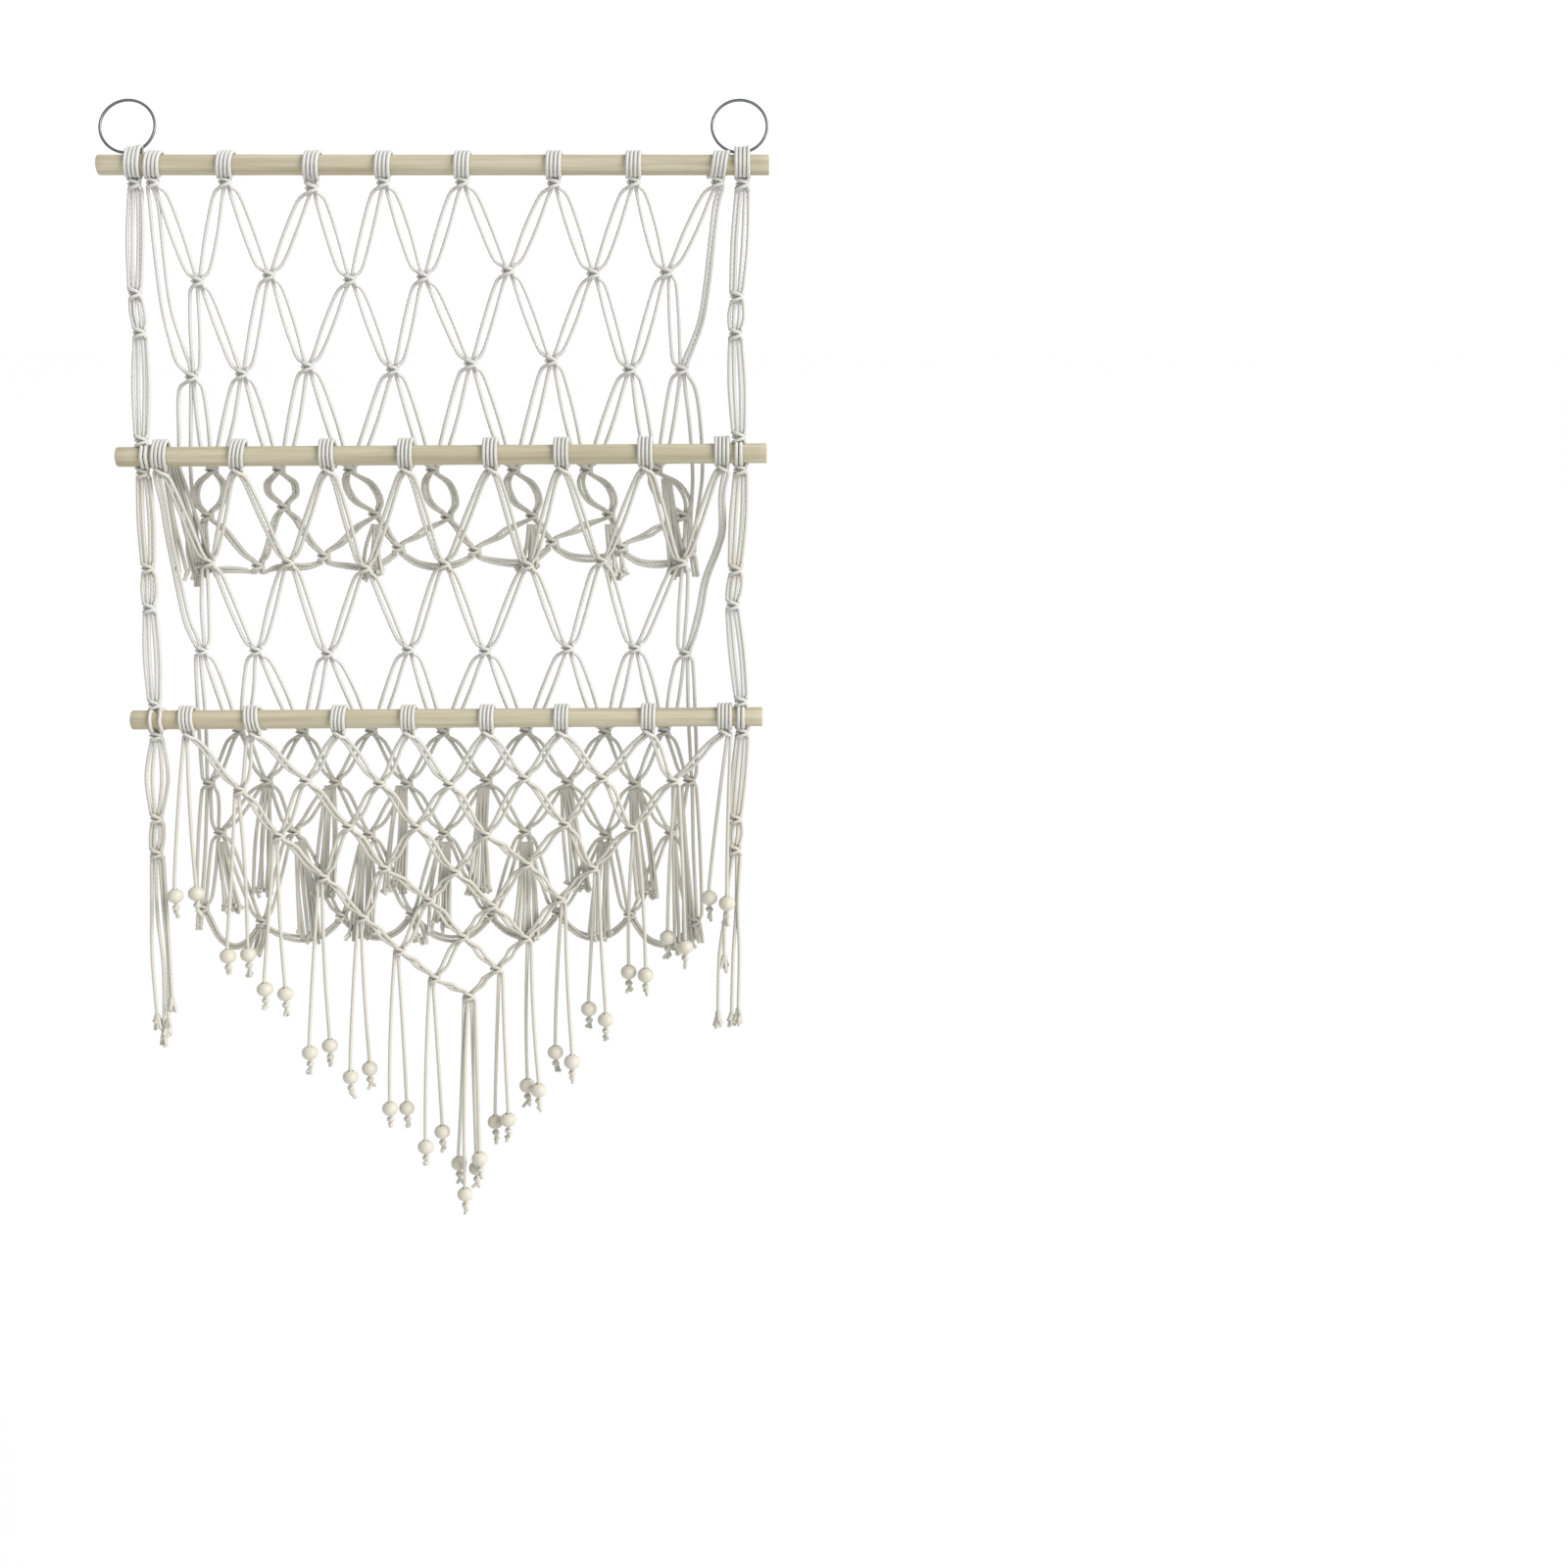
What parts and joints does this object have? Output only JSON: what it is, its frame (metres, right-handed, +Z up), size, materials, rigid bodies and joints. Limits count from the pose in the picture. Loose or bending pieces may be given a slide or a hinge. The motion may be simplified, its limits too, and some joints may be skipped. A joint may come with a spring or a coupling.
{
  "type": "macrame wall hanging with its wooden dowels and hanging rings",
  "caption": "Knotted cotton wall hanging: two openwork nets that form pockets and a pointed beaded panel, on wooden dowels joined by side ropes and hung by wire rings.",
  "frame": {"origin": "midway between the two hanging rings, at the inner top of their wire, where the wall hooks bear", "axes": "+Z up, +X to the right as seen from in front, +Y towards the wall"},
  "size_m": [0.4555, 0.0366, 0.8055],
  "materials": {
    "dowel_wood": "bare sanded pale wood",
    "ring_steel": "dull drawn wire",
    "cotton_cord": "undyed twisted cotton",
    "bead_wood": "pale sanded, unvarnished"
  },
  "bodies": {
    "root": {"dowel_top": "dowel_wood", "dowel_middle": "dowel_wood", "dowel_bottom": "dowel_wood", "ring_left": "ring_steel", "ring_right": "ring_steel", "net_upper": "cotton_cord", "net_middle": "cotton_cord", "panel_pointed": "cotton_cord", "rope_left": "cotton_cord", "rope_right": "cotton_cord", "bead_01": "bead_wood", "bead_02": "bead_wood", "bead_03": "bead_wood", "bead_04": "bead_wood", "bead_05": "bead_wood", "bead_06": "bead_wood", "bead_07": "bead_wood", "bead_08": "bead_wood", "bead_09": "bead_wood", "bead_10": "bead_wood", "bead_11": "bead_wood", "bead_12": "bead_wood", "bead_13": "bead_wood", "bead_14": "bead_wood", "bead_15": "bead_wood", "bead_16": "bead_wood", "bead_17": "bead_wood", "bead_18": "bead_wood", "bead_19": "bead_wood", "bead_20": "bead_wood", "bead_21": "bead_wood", "bead_22": "bead_wood", "bead_23": "bead_wood", "bead_24": "bead_wood", "bead_25": "bead_wood", "bead_26": "bead_wood", "bead_27": "bead_wood", "bead_28": "bead_wood", "bead_29": "bead_wood", "bead_30": "bead_wood", "bead_31": "bead_wood", "bead_32": "bead_wood"}
  },
  "joints": []
}
